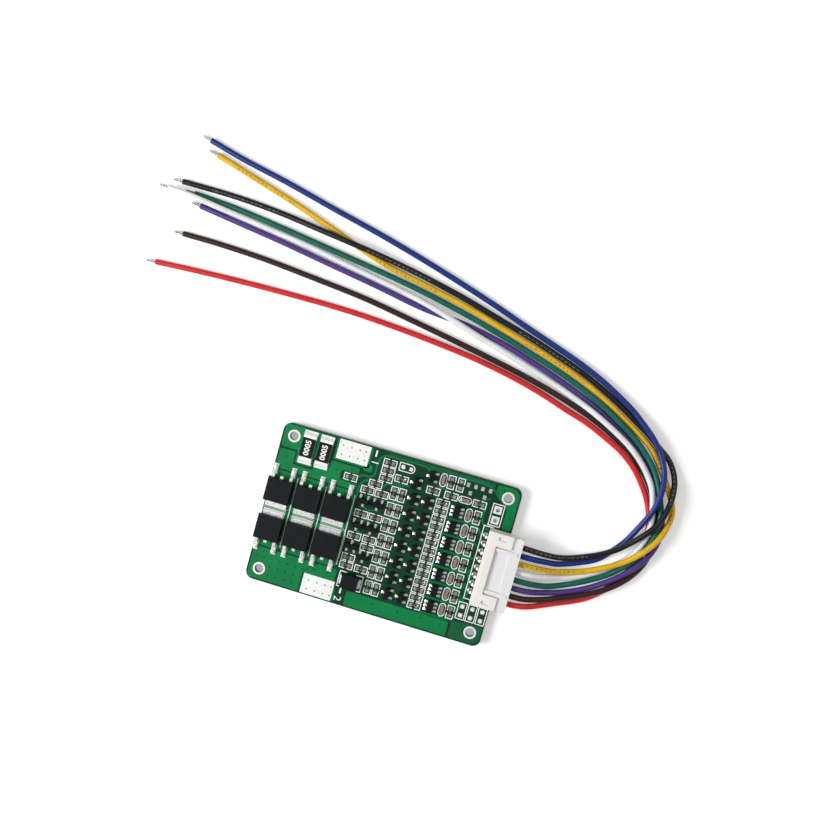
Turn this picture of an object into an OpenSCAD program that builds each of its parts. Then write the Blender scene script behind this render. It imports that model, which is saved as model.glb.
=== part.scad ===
// Battery management board: a protection and cell-balancing circuit for a small battery pack,
// with its side-entry balance connector, the mating plug and the plug's eight loose leads.
// Millimetres. Origin: centre of the mounting-hole pattern, on the underside of the board.
// +X points towards the balance connector and +Z out of the component side.

/* [Board] */
// Length of the board along X
board_l = 60; // [58:0.5:80]
// Width of the board along Y
board_w = 40; // [39:0.5:60]
// Thickness of the laminate
board_t = 1.6; // [1:0.1:2.4]
// Radius of the board's corners
corner_r = 2; // [0.5:0.25:3]
// Distance of each mounting hole from the two edges next to it
hole_inset = 3; // [2.2:0.1:4]
// Diameter of the mounting holes
hole_d = 2.2; // [1.6:0.1:3]
// Width of the plated ring around each mounting hole
ring_w = 0.45; // [0.2:0.05:0.8]
// Height of the tinned pads above the laminate
pad_t = 0.05; // [0.03:0.01:0.1]
// Height of the printed legend above the laminate
ink_t = 0.03; // [0.02:0.01:0.05]
// Width of the printed legend lines
ink_w = 0.22; // [0.12:0.02:0.3]

/* [Power transistors] */
// Number of transistors in each of the two rows
fet_cols = 3; // [1:1:3]
// Distance between neighbouring transistors
fet_pitch = 7.3; // [6.9:0.1:8]
// Width of a transistor body along X
fet_w = 6.6; // [6:0.1:6.8]
// Length of a transistor body along Y
fet_l = 6.1; // [5.6:0.1:6.3]
// Height of a transistor body
fet_h = 2.3; // [1.8:0.1:3]
// Width of the heat tab
fet_tab_w = 5.3; // [4.6:0.1:5.6]
// How far the heat tab stands out of the body
fet_tab_out = 1.05; // [0.6:0.05:1.5]
// Thickness of the tab and the leads
fet_metal_t = 0.5; // [0.4:0.05:0.6]
// Width of a transistor lead
fet_lead_w = 0.76; // [0.6:0.02:0.9]
// Distance between the transistor's lead positions
fet_lead_pitch = 2.3; // [2:0.05:2.4]
// Reach of the outer leads from the body
fet_lead_out = 2.5; // [2.2:0.1:3]

/* [Current sense resistors] */
// Length of a sense resistor
shunt_l = 6.3; // [5.6:0.1:6.6]
// Width of a sense resistor
shunt_w = 3.2; // [2.6:0.1:3.4]
// Thickness of a sense resistor
shunt_t = 0.65; // [0.5:0.05:1]
// Length of its wrapped terminals
shunt_end = 0.75; // [0.4:0.05:1.2]

/* [Chip parts] */
// Length of the small chip resistors and capacitors
chip_l = 1.6; // [1.4:0.05:1.7]
// Width of the small chips
chip_w = 0.8; // [0.6:0.05:0.95]
// Thickness of a chip resistor
resistor_t = 0.45; // [0.3:0.05:0.6]
// Thickness of a chip capacitor
capacitor_t = 0.8; // [0.5:0.05:0.9]
// Length of the wrapped terminals of a chip
chip_end = 0.3; // [0.2:0.05:0.45]
// Thickness of the metal of those terminals
chip_plate = 0.04; // [0.03:0.01:0.08]

/* [Small transistors] */
// Length of the three-lead and six-lead bodies
sot_l = 2.9; // [2.7:0.05:3]
// Width of the three-lead body
sot3_w = 1.3; // [1.2:0.05:1.4]
// Width of the six-lead body
sot6_w = 1.6; // [1.5:0.05:1.7]
// Height of the bodies
sot_h = 1; // [0.8:0.05:1.3]
// Width of their leads
sot_lead_w = 0.4; // [0.3:0.02:0.45]
// Thickness of their leads
sot_lead_t = 0.13; // [0.1:0.01:0.2]
// Distance between neighbouring leads
sot_pitch = 0.95; // [0.9:0.01:1]
// Reach of the leads from the body
sot_lead_out = 0.55; // [0.5:0.05:0.65]

/* [Diode] */
// Length of the diode's body
diode_l = 4.3; // [4:0.1:4.6]
// Width of the diode's body
diode_w = 3.6; // [3.2:0.1:3.8]
// Height of the diode's body
diode_h = 2.2; // [1.8:0.1:2.6]
// Thickness of the folded leads
diode_metal_t = 0.2; // [0.15:0.01:0.3]

/* [Balance channels] */
// Number of balance channels
channels = 7; // [3:1:7]
// Distance between neighbouring channels
channel_pitch = 4; // [3.8:0.05:4.2]

/* [Balance connector] */
// Distance between neighbouring contacts
pin_pitch = 2; // [1.9:0.05:2.1]
// Side of the square pins
pin_w = 0.5; // [0.4:0.02:0.64]
// How far the pins come out under the board
tail_out = 0.7; // [0.5:0.05:1.5]
// Depth of the connector shell, back to front
shell_depth = 6.1; // [5.5:0.1:7]
// Height of the shell
shell_h = 4.8; // [4.6:0.1:6]
// Thickness of the shell's side walls
shell_side = 1.05; // [0.7:0.05:1.3]
// Thickness of the shell's floor
shell_floor = 0.7; // [0.5:0.05:0.9]
// Thickness of the shell's roof
shell_roof = 0.7; // [0.5:0.05:0.9]
// Thickness of the shell's rear wall
shell_rear = 1.3; // [1:0.1:1.8]
// How far the shell stands out over the board's edge
shell_overhang = 1; // [0:0.1:1.5]
// Width of each arm of the roof beside its window
arm_w = 3.1; // [2.2:0.1:4]
// Depth of the window in the roof, from the front
window_depth = 3.7; // [2:0.1:4.2]

/* [Plug] */
// How far the plug's grip stands out of the shell
grip_l = 2.5; // [1.5:0.1:4]
// Clearance between the plug and the shell
plug_gap = 0.05; // [0.03:0.01:0.1]
// Height of the two ribs on the plug's back
rib_h = 0.45; // [0.2:0.05:0.6]

/* [Leads] */
// Outer diameter of a lead's insulation
wire_d = 1.4; // [1:0.1:1.4]
// Diameter of the tinned strands
strand_d = 0.7; // [0.5:0.05:0.9]
// Length of the stripped end
strip_l = 2.3; // [1:0.1:5]

/* [Hidden] */
// Leads in the order of the contacts, from the +Y end: name and colour
wire_colours = [["black", "#1b1b1d"], ["blue", "#1f4f9c"], ["yellow", "#e0b91e"], ["white", "#e9e9e6"],
    ["green", "#2f8a45"], ["purple", "#6d4a8f"], ["brown", "#5d3a24"], ["red", "#b3252b"]];
ways = len(wire_colours);
$fn = 48;
// Overlap of cutting shapes past the faces they cut
past = 0.5;

// Board edges and mounting holes
edge_x = board_l / 2;
edge_y = board_w / 2;
hole_x = edge_x - hole_inset;
hole_y = edge_y - hole_inset;
seat = board_t + pad_t;
// Thickness of the plating in a hole
plate_t = 0.05;

// Board size that the layout of the parts needs; on a smaller board the parts and their places
// shrink with it, and on a larger one they keep their size and stay by their own edge
layout_l = 60;
layout_w = 40;
fit = min(1, board_l / layout_l, board_w / layout_w);
// Grid that the places below are counted in
grid = 1;
unit = fit * grid;

// Power transistors: first column in from the left edge, rows about the component field's centre line
fet_first = 3;
field_y = -1.6;
fet_row = 4.8;
fet_spots = [for (row = [0:1], i = [0:fet_cols - 1])
    [-edge_x + fit * (fet_first + fet_pitch * i), fit * (field_y + fet_row * (1 - 2 * row)), 2 * row]];
fet_lead_top = 1.5;
fet_seat = 0.9;
fet_root = 0.6;
fet_lean = 0.2;
// Height of a moulded body's parting line, as a part of its height
parting = 0.48;
// Moulding mark in the top of a transistor body
mark_d = 1.1;
mark_depth = 0.08;
// Reach of the printed lines between the transistors, past the rows and as a part of a body
fet_line = 0.65;
tab_pad_out = 0.4;
// Solder heaped over the foot of a transistor lead
heap_d = 1.3;
heap_h = 0.7;
// Gull-wing lead, as parts of its reach: shoulder, bend beneath it, instep and heel
lead_shoulder = 0.3;
lead_bend = 0.2;
lead_instep = 0.52;
lead_heel = 0.45;
// Solder against an end face, as parts of its height: climb, climb at a small lead's toe, and run
solder_climb = 0.6;
toe_climb = 0.8;
solder_run = 0.7;

// Sense resistors: in from the left edge, and down from the top edge
shunt_spots = [for (s = [7, 11.2]) [-edge_x + unit * s, edge_y - unit * 4.8, 1]];
shunt_pad = 1;

// Balance channels: columns in from the right edge, rows about the field's centre line
function row_y(k) = fit * (field_y + channel_pitch * ((channels - 1) / 2 - k));
function column(d, dy, turn) = [for (k = [0:channels - 1]) [edge_x - unit * d, row_y(k) + unit * dy, turn]];
balance_spots = column(13.95, 0, 0);

// Chip resistors between the channels and the power transistors:
// in from the right edge, across from the board's centre line, quarter turns
field_chips = [[41, 11.2, 0], [34.7, 11.3, 0], [36.2, 9.3, 0], [32.6, 9.3, 0], [36.2, 3.3, 0], [32.6, 3.3, 0],
    [36.4, -2.4, 0], [32.6, -2.3, 0], [32.6, -4.4, 0], [36.4, -7.9, 0], [36.4, -9.9, 0], [32.6, -9.9, 0]];
// Chip resistors along the top: in from the right edge, down from the top edge, quarter turns
strip_chips = [[32.6, 2.8, 0], [32.6, 4.7, 0], [32.6, 6.7, 0], [28.9, 5.8, 0], [20.8, 6.3, 0],
    [16.3, 6.3, 0], [9.2, 6.3, 0], [17.1, 3.1, 1]];
// Chip capacitors along the top, in the same way
strip_capacitors = [[19.1, 3.1, 1], [12.8, 6.3, 0]];
// Three-lead transistors in the same two groups; at no turn the single lead points to -X
field_sots = [[36.4, 6.5, 1], [32.9, 6.5, 1], [36.4, 0.4, 1], [32.9, 0.4, 1], [32.9, -6.8, 1], [36.4, -5, 3]];
strip_sots = [[25.3, 5.7, 0], [21.9, 3.1, 0]];
function in_field(list) = [for (s = list) [edge_x - unit * s[0], unit * s[1], s[2]]];
function in_strip(list) = [for (s = list) [edge_x - unit * s[0], edge_y - unit * s[1], s[2]]];

resistor_spots = concat(column(29.8, 0, 1), column(27.8, 0, 1), column(17.8, 1, 0), column(17.8, -1, 0),
    column(8.9, 0, 1), in_field(field_chips), in_strip(strip_chips));
capacitor_spots = concat(column(11, 0, 1), in_strip(strip_capacitors));
sot_spots = concat(column(24.9, 0, 0), column(21.4, 0, 0), in_field(field_sots), in_strip(strip_sots));
diode_spots = in_field([[34.4, -13.5, 0]]);
diode_tab_w = 2;
diode_tab_h = 1.2;
diode_tab_out = 0.25;
diode_tab_in = 0.9;
diode_lean = 0.15;

// Pads: width past the part's own width, and reach past its end
pad_side = 0.1;
chip_pad_out = 0.4;
chip_pad_in = 0.4;
sot_pad_out = 0.28;
sot_stand = 0.1;
sot_exit = 0.62;
sot_root = 0.2;
sot_lean = 0.1;

// Places of parts that aren't fitted, along the top: in from the right edge, down from the top edge
bare_sots = in_strip([[12.1, 3.4, 1], [8.5, 3.4, 1]]);
bare_chips = in_strip([[14.8, 3.1, 1]]);
bare_lamps = in_strip([[28.3, 2.8, 0]]);
lamp_l = 4;
lamp_w = 2.2;
lamp_pad = 1;
// Bare two-pad places below the connector
bare_pairs = in_field([for (d = [6.4, 3.9, 1.4]) [d, -12.45, 1]]);
pair_l = 4.4;
pair_w = 2.3;
pair_pad = 1.1;
bare_pad_l = 1;
bare_pad_w = 0.8;

// Legend: clearance past a part's end and side, gap in its brackets, clearance round a pad,
// and the open part of the brackets round the diode
ink_end = 0.9;
ink_side = 0.52;
ink_gap = 0.5;
ink_pad = 0.55;
ink_break = 0.55;

// Sensor header: two plated holes in line, in from the right edge and down from the top edge
sensor_pitch = 2.54;
sensor_in = 4.6;
sensor_down = 7.67;
sensor_hole = 1;
sensor_pad = 1.9;
sensor_x = edge_x - sensor_in;
sensor_y = [for (s = [1, -1]) edge_y - sensor_down + s * sensor_pitch / 2];

// Power pads: in from the left edge, length, width, and depth in from the board's long edges
power_in = 14.2;
power_l = 7.9;
power_w = 4.9;
power_edge = 0.35;

// Connector: pin row, shell and cavity
pin_in = 5.8;
pin_up = 2.4;
pin_run = 5.1;
pin_x = edge_x - pin_in;
pin_z = board_t + pin_up;
pin_tip = pin_x + pin_run;
pin_hole = 0.8;
pin_ring = 1.3;
pin_bend = 0.6;
tip_taper = 0.1;
tip_l = 0.4;
tail_l = 0.15;
// Solder joint round a pin: radius at its end, height below and above the board
joint_r = 0.36;
joint_h = 0.45;
joint_top = 0.2;
shell_x = edge_x + shell_overhang;
shell_rear_x = shell_x - shell_depth;
cavity_x = shell_rear_x + shell_rear;
shell_more = 4.2;
shell_l = (ways - 1) * pin_pitch + shell_more;
cavity_l = shell_l - 2 * shell_side;
window_l = shell_l - 2 * arm_w;
band = 0.8;
band_drop = 0.25;
shell_chamfer = 0.2;
// Shallow pocket in each arm of the roof
pocket_in = 3.5;
pocket_l = 1.9;
pocket_w = 0.8;
pocket_side = 1.2;
pocket_depth = 0.4;
// Printed line around the shell
shell_line = 0.95;
shell_line_x = pin_x - shell_line;
shell_line_y = shell_l / 2 + ink_w / 2 + 0.01;
function pin_y(i) = pin_pitch * ((ways - 1) / 2 - i);

// Plug and contacts
plug_top = board_t + shell_h - shell_roof - plug_gap;
plug_l = cavity_l - 2 * plug_gap;
grip_in = 0.2;
grip_rise = 0.3;
grip_h = 4;
grip_w = shell_l - 2 * grip_in;
grip_low = board_t + grip_rise;
grip_high = grip_low + grip_h;
rib_w = 0.8;
rib_y = window_l / 2 - rib_w;
rib_back = 0.1;
rib_short = 0.8;
ear_w = 1;
ear_h = 0.9;
ear_out = 0.1;
contact_w = 1.4;
contact_h = 1.6;
contact_back = 0.4;
barrel_d = 1.3;
barrel_in = 1;
barrel_x = shell_x - barrel_in;
lead_hole = 1.6;
wire_x = shell_x + grip_l - barrel_in;

// Leads: rest height of a lead on the surface the board stands on, and rings along it
rest_z = wire_d / 2 - tail_out;
ring_step = 2.8;
sides = 8;
blend = 9;

// Route of each lead's centre line, in the order of the contacts, as laid out by hand on a flat
// surface; a lead lying on that surface has a height of 0, and one crossing another is lifted over it
routes = [
    [ // black
        [32.5, 7, 4], [34.5, 7, 4], [37, 6.9, 3.8], [39.6, 6.8, 3.1], [42.2, 6.9, 2.3],
        [45, 7.5, 1.6], [48.2, 8.7, 1.2], [51.4, 10.2, 1.2], [54.7, 12.4, 1.5], [57.6, 15.2, 2.1],
        [60.1, 18.1, 2.9], [62.3, 21.4, 3.2], [63.4, 25.3, 3.1], [63.7, 29.1, 2.1],
        [63, 32.8, 0.8], [60.9, 36.1, 0.1], [57.7, 38.5, 0], [54.5, 40.8, 0], [50.6, 43.1, 0],
        [46.2, 45.6, 0], [41.3, 48.1, 0], [35.8, 50.5, 0], [29.2, 52.8, 0], [21.6, 55.2, 0],
        [12.9, 57.6, 0], [3.3, 60.2, 0], [-7.5, 62.6, 0.1], [-17, 64.3, 0.9], [-25.2, 65.5, 1.5],
        [-33.5, 66.6, 1], [-44.9, 68.1, 0], [-56.9, 69, 0], [-70.2, 69.2, 0]
    ],
    [ // blue
        [32.5, 5, 4], [34.5, 5, 4], [37, 5, 3.7], [39.6, 5.1, 2.9], [42.1, 5.2, 2], [44.8, 5.9, 1],
        [48, 7.1, 0.3], [51.1, 8.7, 0], [53.9, 11.5, 0], [56.3, 14.7, 0.3], [58, 18.2, 1.2],
        [59.4, 21.7, 2.5], [60.6, 25.4, 3.2], [60.9, 29.4, 3.1], [60.3, 33.3, 2.4],
        [58.6, 36.8, 1.8], [56.1, 39.9, 1.5], [53.1, 42.5, 1.3], [49.5, 45.2, 0.8],
        [45.2, 47.7, 0.6], [40.3, 50.2, 0.4], [34.7, 52.5, 0.2], [28.1, 54.8, 0], [20.5, 57.3, 0],
        [12, 60.2, 0], [2.5, 63.2, 0], [-8.1, 66.3, 0], [-19.7, 69.4, 0], [-32.3, 72.4, 0],
        [-44.9, 75.5, 0], [-56.7, 78.1, 0], [-65.8, 80.5, 0]
    ],
    [ // yellow
        [32.5, 3, 4], [34.5, 3, 4], [37, 3, 3.7], [39.6, 3.1, 3], [42.2, 3.3, 2.2], [45, 4, 1.6],
        [48.3, 5, 1.2], [51.5, 6.5, 1.3], [54.9, 8.5, 1.7], [58, 10.9, 2.3], [60.7, 13.8, 3],
        [63, 17, 2.8], [64.5, 20.6, 1.8], [64.9, 24.5, 1.2], [63.4, 28.1, 0.9], [61.2, 31.4, 0.6],
        [58.8, 34.6, 0.2], [56.2, 37.7, 0], [52.5, 40.2, 0], [48.2, 42.7, 0], [43.4, 45.4, 0],
        [38, 48, 0], [31.4, 50.5, 0], [23.8, 53, 0], [15.2, 55.4, 0], [5.5, 58.1, 0],
        [-5.2, 60.4, 0], [-17, 62.9, 0], [-29.3, 67, 0], [-41.6, 71.1, 0], [-53.1, 74.5, 0],
        [-63.3, 77.5, 0]
    ],
    [ // white
        [32.5, 1, 4], [34.5, 1, 4], [37, 1.1, 3.6], [39.5, 1.3, 2.7], [41.9, 1.7, 1.7],
        [44.7, 2.3, 0.8], [47.9, 3.5, 0.2], [51, 5.2, 0], [54.2, 7.5, 0], [57.2, 10.2, 0.1],
        [59.5, 13.4, 0.6], [60.6, 17.1, 1.4], [60.8, 21.1, 1.6], [60, 25, 1.5], [58.7, 28.8, 1.5],
        [56.4, 32.1, 1.4], [53.6, 34.9, 1.3], [50.4, 37.3, 1.3], [46.5, 39.5, 1.2], [42, 41.7, 1],
        [36.9, 43.8, 0.7], [31.3, 45.8, 0.2], [24.6, 47.9, 0], [17, 50.2, 0.3], [9.5, 52.3, 1],
        [3.2, 54.2, 1.5], [-3.5, 56.1, 1], [-11.9, 57.9, 0.1], [-23.7, 60, 0], [-36.5, 62.2, 0],
        [-48, 63.8, 0], [-56, 64.9, 0.7], [-63.4, 65.9, 1.4], [-68.5, 66.5, 1.4], [-73, 66.9, 1]
    ],
    [ // green
        [32.5, -1, 4], [34.5, -1, 4], [37, -1, 3.6], [39.5, -0.9, 2.6], [41.9, -0.6, 1.6],
        [44.6, 0.3, 0.7], [47.8, 1.7, 0.2], [50.9, 3.4, 0], [54.2, 5.6, 0.2], [57, 8.3, 0.9],
        [59.6, 11.3, 1.3], [61.5, 14.8, 1.5], [62.5, 18.7, 1.6], [62.5, 22.7, 1.7],
        [61.4, 26.5, 1.6], [59.8, 30.2, 1.4], [57.7, 33.5, 1.1], [54.9, 36.4, 0.8],
        [51.4, 39.2, 0.7], [47.1, 41.8, 0.8], [42.3, 44.4, 0.6], [36.8, 46.9, 0.3],
        [30.3, 49.3, 0.1], [22.6, 51.7, 0], [14, 54.2, 0], [4.3, 56.7, 0], [-6.5, 59, 0],
        [-18.3, 61, 0], [-31.1, 62.9, 0], [-44, 64.8, 0], [-55.9, 66.3, 0], [-66.6, 67.1, 0]
    ],
    [ // purple
        [32.5, -3, 4], [34.5, -3, 4], [36.9, -3, 3.5], [39.3, -2.8, 2.4], [41.8, -2.3, 1.3],
        [44.6, -1.6, 0.5], [47.8, -0.3, 0.2], [50.9, 1.4, 0.3], [54.1, 3.7, 0.9], [57.1, 6.3, 1.4],
        [59.8, 9.2, 1.7], [62.1, 12.5, 1.7], [63.5, 16.2, 1.2], [63.7, 20.1, 0.5],
        [62.6, 23.9, 0.2], [60.9, 27.5, 0], [58.7, 30.8, 0], [56, 33.8, 0], [52.6, 36.7, 0],
        [48.4, 39.5, 0], [43.6, 42.2, 0], [38.2, 44.7, 0], [31.6, 47.2, 0], [24, 49.7, 0],
        [15.4, 52.2, 0], [5.6, 54.1, 0], [-5.4, 55.2, 0], [-17.2, 57.3, 0], [-30, 59.4, 0],
        [-42.8, 61.5, 0], [-54.7, 63.2, 0], [-64.4, 64.6, 0]
    ],
    [ // brown
        [32.5, -5, 4], [34.5, -5, 4], [37, -4.9, 3.6], [39.4, -4.5, 2.8], [42, -3.8, 2],
        [44.8, -2.8, 1.4], [48, -1.5, 1.2], [51.1, 0.1, 1.3], [54.5, 2.2, 1.5], [57.6, 4.8, 1.5],
        [60.2, 7.7, 0.9], [62.1, 11.2, 0.3], [62.7, 15.1, 0], [62.3, 19.1, 0], [61.4, 22.9, 0],
        [59.7, 26.6, 0], [57.5, 29.9, 0], [54.8, 32.8, 0], [51.3, 35.7, 0], [46.9, 38.1, 0],
        [41.9, 40.4, 0], [36.3, 42.4, 0], [29.6, 44.4, 0], [21.8, 46.3, 0], [13, 48.1, 0],
        [3.1, 49.9, 0], [-7.7, 51.8, 0], [-19.5, 53.7, 0], [-32.5, 55.1, 0], [-45.4, 56.3, 0],
        [-57.4, 56.9, 0], [-66.9, 57, 0]
    ],
    [ // red
        [32.5, -7, 4], [34.5, -7, 4], [36.9, -6.8, 3.5], [39.3, -6.3, 2.5], [41.8, -5.4, 1.5],
        [44.5, -4.3, 0.7], [47.7, -3, 0.1], [50.8, -1.4, 0], [53.9, 1.1, 0], [56.6, 4.1, 0],
        [58.7, 7.5, 0], [60.4, 11.1, 0], [61.2, 15, 0], [60.8, 18.9, 0], [59.8, 22.8, 0],
        [58.1, 26.4, 0], [55.7, 29.7, 0.1], [53, 32.6, 0.5], [49.4, 35.2, 0.4], [44.9, 37.4, 0.2],
        [39.8, 39.5, 0.1], [34.1, 41.2, 0.1], [27.4, 43.3, 0.1], [19.6, 45.2, 0], [10.8, 46.8, 0],
        [0.9, 48, 0], [-10.1, 49, 0], [-22.1, 49.7, 0], [-35.1, 49.8, 0], [-48.1, 49.6, 0],
        [-60.1, 49.2, 0], [-71.9, 48.6, 0]
    ]
];

// Places the children, drawn on the board, at each spot of a list
module spots(list) for (p = list) translate([p[0], p[1], board_t]) rotate(90 * p[2]) scale(fit) children();

// Extrudes a side view, drawn as [outwards, up], along Y
module side_view(points, width) rotate([90, 0, 0]) linear_extrude(width, center = true) polygon(points);

// Moulded body: widest at its parting line
module moulded(x, y, h, part, lean) intersection() {
    side_view([[lean - x / 2, 0], [x / 2 - lean, 0], [x / 2, part], [x / 2 - lean, h],
        [lean - x / 2, h], [-x / 2, part]], y + past);
    rotate(90) side_view([[lean - y / 2, 0], [y / 2 - lean, 0], [y / 2, part], [y / 2 - lean, h],
        [lean - y / 2, h], [-y / 2, part]], x + past);
}

// Side view of a gull-wing lead: rooted in the body, out at a height, down, and along its pad
function gull(root, top, t, out) = [[-root, top - t], [-root, top], [lead_shoulder * out, top],
    [lead_instep * out, t], [out, t], [out, 0], [lead_heel * out, 0], [lead_bend * out, top - t]];

// Side view of a pad from one place to another with the solder standing against a part's end face
function soldered(inner, face, outer, h) = [[inner, 0], [outer, 0], [outer, pad_t],
    [face + solder_run * (outer - face), pad_t], [face, pad_t + h], [face, pad_t], [inner, pad_t]];

// Side view of a wrapped chip terminal
function wrapped(l, t, end, plate) = [[l / 2 - end, 0], [l / 2, 0], [l / 2, t], [l / 2 - end, t],
    [l / 2 - end, t - plate], [l / 2 - plate, t - plate], [l / 2 - plate, plate], [l / 2 - end, plate]];

module chip_body(l, w, t, plate) translate([0, 0, pad_t + t / 2])
    cube([l - 2 * plate, w, t - 2 * plate], center = true);

module chip_ends(l, w, t, end, plate) for (a = [0, 180]) rotate(a) translate([0, 0, pad_t])
    side_view(wrapped(l, t, end, plate), w);

module chip_solder(l, w, t) for (a = [0, 180]) rotate(a)
    side_view(soldered(l / 2 - chip_pad_in, l / 2, l / 2 + chip_pad_out, solder_climb * t),
        w + pad_side);

module flat_pad(x, y, l, w) translate([x - l / 2, y - w / 2, 0]) cube([l, w, pad_t]);

// Printed line between two corners of the legend, square to the board
module ink(x1, y1, x2, y2) translate([min(x1, x2) - ink_w / 2, min(y1, y2) - ink_w / 2, 0])
    cube([abs(x2 - x1) + ink_w, abs(y2 - y1) + ink_w, ink_t]);

// Printed bracket: one end and half of each side of a box
module bracket(x, y, gap) linear_extrude(ink_t) polygon([[gap / 2, -y], [x, -y], [x, y], [gap / 2, y],
    [gap / 2, y - ink_w], [x - ink_w, y - ink_w], [x - ink_w, ink_w - y], [gap / 2, ink_w - y]]);

module bracket_pair(x, y, gap) for (a = [0, 180]) rotate(a) bracket(x, y, gap);

// Printed outline with two round ends, or with one
module stadium(l, w) {
    square([l - w, w], center = true);
    for (s = [-1, 1]) translate([s * (l - w) / 2, 0]) circle(d = w);
}

module round_frame(l, w) linear_extrude(ink_t) difference() {
    stadium(l, w);
    stadium(l - 2 * ink_w, w - 2 * ink_w);
}

module lamp_shape(l, w) {
    stadium(l, w);
    translate([-l / 2, -w / 2]) square([l / 2, w]);
}

module lamp_frame(l, w) linear_extrude(ink_t) difference() {
    lamp_shape(l, w);
    lamp_shape(l - 2 * ink_w, w - 2 * ink_w);
}

// Printed frame: a closed outline
module frame(x, y) linear_extrude(ink_t) difference() {
    square([2 * x, 2 * y], center = true);
    square([2 * (x - ink_w), 2 * (y - ink_w)], center = true);
}

module circuit_board() color("#1d7a3c") difference() {
    union() {
        translate([-edge_x + corner_r, -edge_y, 0]) cube([board_l - 2 * corner_r, board_w, board_t]);
        translate([-edge_x, -edge_y + corner_r, 0]) cube([board_l, board_w - 2 * corner_r, board_t]);
        for (x = [-1, 1], y = [-1, 1]) translate([x * (edge_x - corner_r), y * (edge_y - corner_r), 0])
            cylinder(r = corner_r, h = board_t);
    }
    for (x = [-1, 1], y = [-1, 1]) translate([x * hole_x, y * hole_y, -past])
        drill(hole_d + 2 * plate_t);
    for (i = [0:ways - 1]) translate([pin_x, pin_y(i), -past]) drill(pin_hole + 2 * plate_t);
    for (y = sensor_y) translate([sensor_x, y, -past]) drill(sensor_hole + 2 * plate_t);
}

module drill(d) cylinder(d = d, h = board_t + 2 * past);

// Plating of one hole: its lining, and the children as the pad on both faces of the board
module plated(hole) difference() {
    union() {
        cylinder(d = hole + 2 * plate_t, h = board_t);
        for (z = [-pad_t, board_t]) translate([0, 0, z]) linear_extrude(pad_t) children();
    }
    translate([0, 0, -past]) drill(hole);
}

module plated_holes() color("#c9ccc8") {
    for (x = [-1, 1], y = [-1, 1]) translate([x * hole_x, y * hole_y, 0])
        plated(hole_d) circle(d = hole_d + 2 * ring_w);
    for (i = [0:ways - 1]) translate([pin_x, pin_y(i), 0]) plated(pin_hole) circle(d = pin_ring);
    for (y = sensor_y) translate([sensor_x, y, 0]) plated(sensor_hole) square(sensor_pad, center = true);
}

module chip_pads() color("#b9bcb8") {
    spots(resistor_spots) chip_solder(chip_l, chip_w, resistor_t);
    spots(capacitor_spots) chip_solder(chip_l, chip_w, capacitor_t);
    spots(bare_chips) for (s = [-1, 1])
        flat_pad(s * chip_l / 2, 0, chip_pad_out + chip_pad_in, chip_w + pad_side);
    spots(bare_lamps) for (s = [-1, 1]) flat_pad(s * lamp_l / 4, 0, lamp_pad, lamp_pad);
    spots(bare_pairs) for (s = [-1, 1]) flat_pad(s * pair_l / 4, 0, pair_pad, pair_pad);
}

// Soldered pad under one small lead, against its toe
module lead_pad(face) side_view(soldered(face + pad_side, face + sot_lead_out,
    face + sot_lead_out + sot_pad_out, toe_climb * sot_lead_t), sot_lead_w + 2 * pad_side);

// The children at each lead place of a three-lead body, and of a six-lead one
module three_leads() {
    for (s = [-1, 1]) translate([0, s * sot_pitch, 0]) children();
    rotate(180) children();
}

module six_leads() for (a = [0, 180], s = [-1:1]) rotate(a) translate([0, s * sot_pitch, 0]) children();

module transistor_pads() color("#b9bcb8") {
    spots(sot_spots) three_leads() lead_pad(sot3_w / 2);
    spots(balance_spots) six_leads() lead_pad(sot6_w / 2);
    spots(bare_sots) three_leads() flat_pad(sot3_w / 2 + sot_lead_out / 2, 0, bare_pad_l, bare_pad_w);
}

// Pad of an outer lead, with solder heaped over the foot
module lead_heap() difference() {
    r = (heap_d * heap_d / 4 + heap_h * heap_h) / (2 * heap_h);
    union() {
        translate([heap_d / 2, -fet_lead_w / 2 - 2 * pad_side, 0])
            cube([fet_lead_out, fet_lead_w + 4 * pad_side, pad_t]);
        translate([fet_lead_out - heap_d / 8, 0, pad_t]) intersection() {
            translate([0, 0, heap_h - r]) sphere(r);
            cylinder(d = 2 * heap_d, h = heap_d);
        }
    }
    translate([0, 0, pad_t]) side_view(gull(fet_root, fet_lead_top, fet_metal_t, fet_lead_out), fet_lead_w);
}

module power_pads() color("#c3c6c2") {
    spots(fet_spots) rotate(90) {
        for (s = [-1, 1]) translate([fet_l / 2, s * fet_lead_pitch, 0]) lead_heap();
        rotate(180) translate([fet_l / 2 + fet_tab_out, 0, 0])
            side_view(soldered(-fet_l / 2 - fet_tab_out - fet_seat, 0, tab_pad_out,
                solder_climb * fet_metal_t), fet_tab_w + 2 * pad_side);
    }
    spots(shunt_spots) for (a = [0, 180]) rotate(a)
        side_view(soldered(shunt_l / 2 - shunt_pad, shunt_l / 2, shunt_l / 2 + shunt_pad,
            solder_climb * shunt_t), shunt_w + 2 * pad_side);
    spots(diode_spots) for (a = [0, 180]) rotate(a)
        side_view(soldered(diode_l / 2 - diode_tab_in, diode_l / 2 + diode_tab_out,
            diode_l / 2 + 2 * diode_tab_out, diode_tab_h / 3), diode_tab_w + 2 * pad_side);
    spots([for (s = [-1, 1]) [fit * (power_in + power_l / 2) - edge_x,
        s * (edge_y - fit * (power_edge + power_w / 2)), 0]]) flat_pad(0, 0, power_l, power_w);
}

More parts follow.
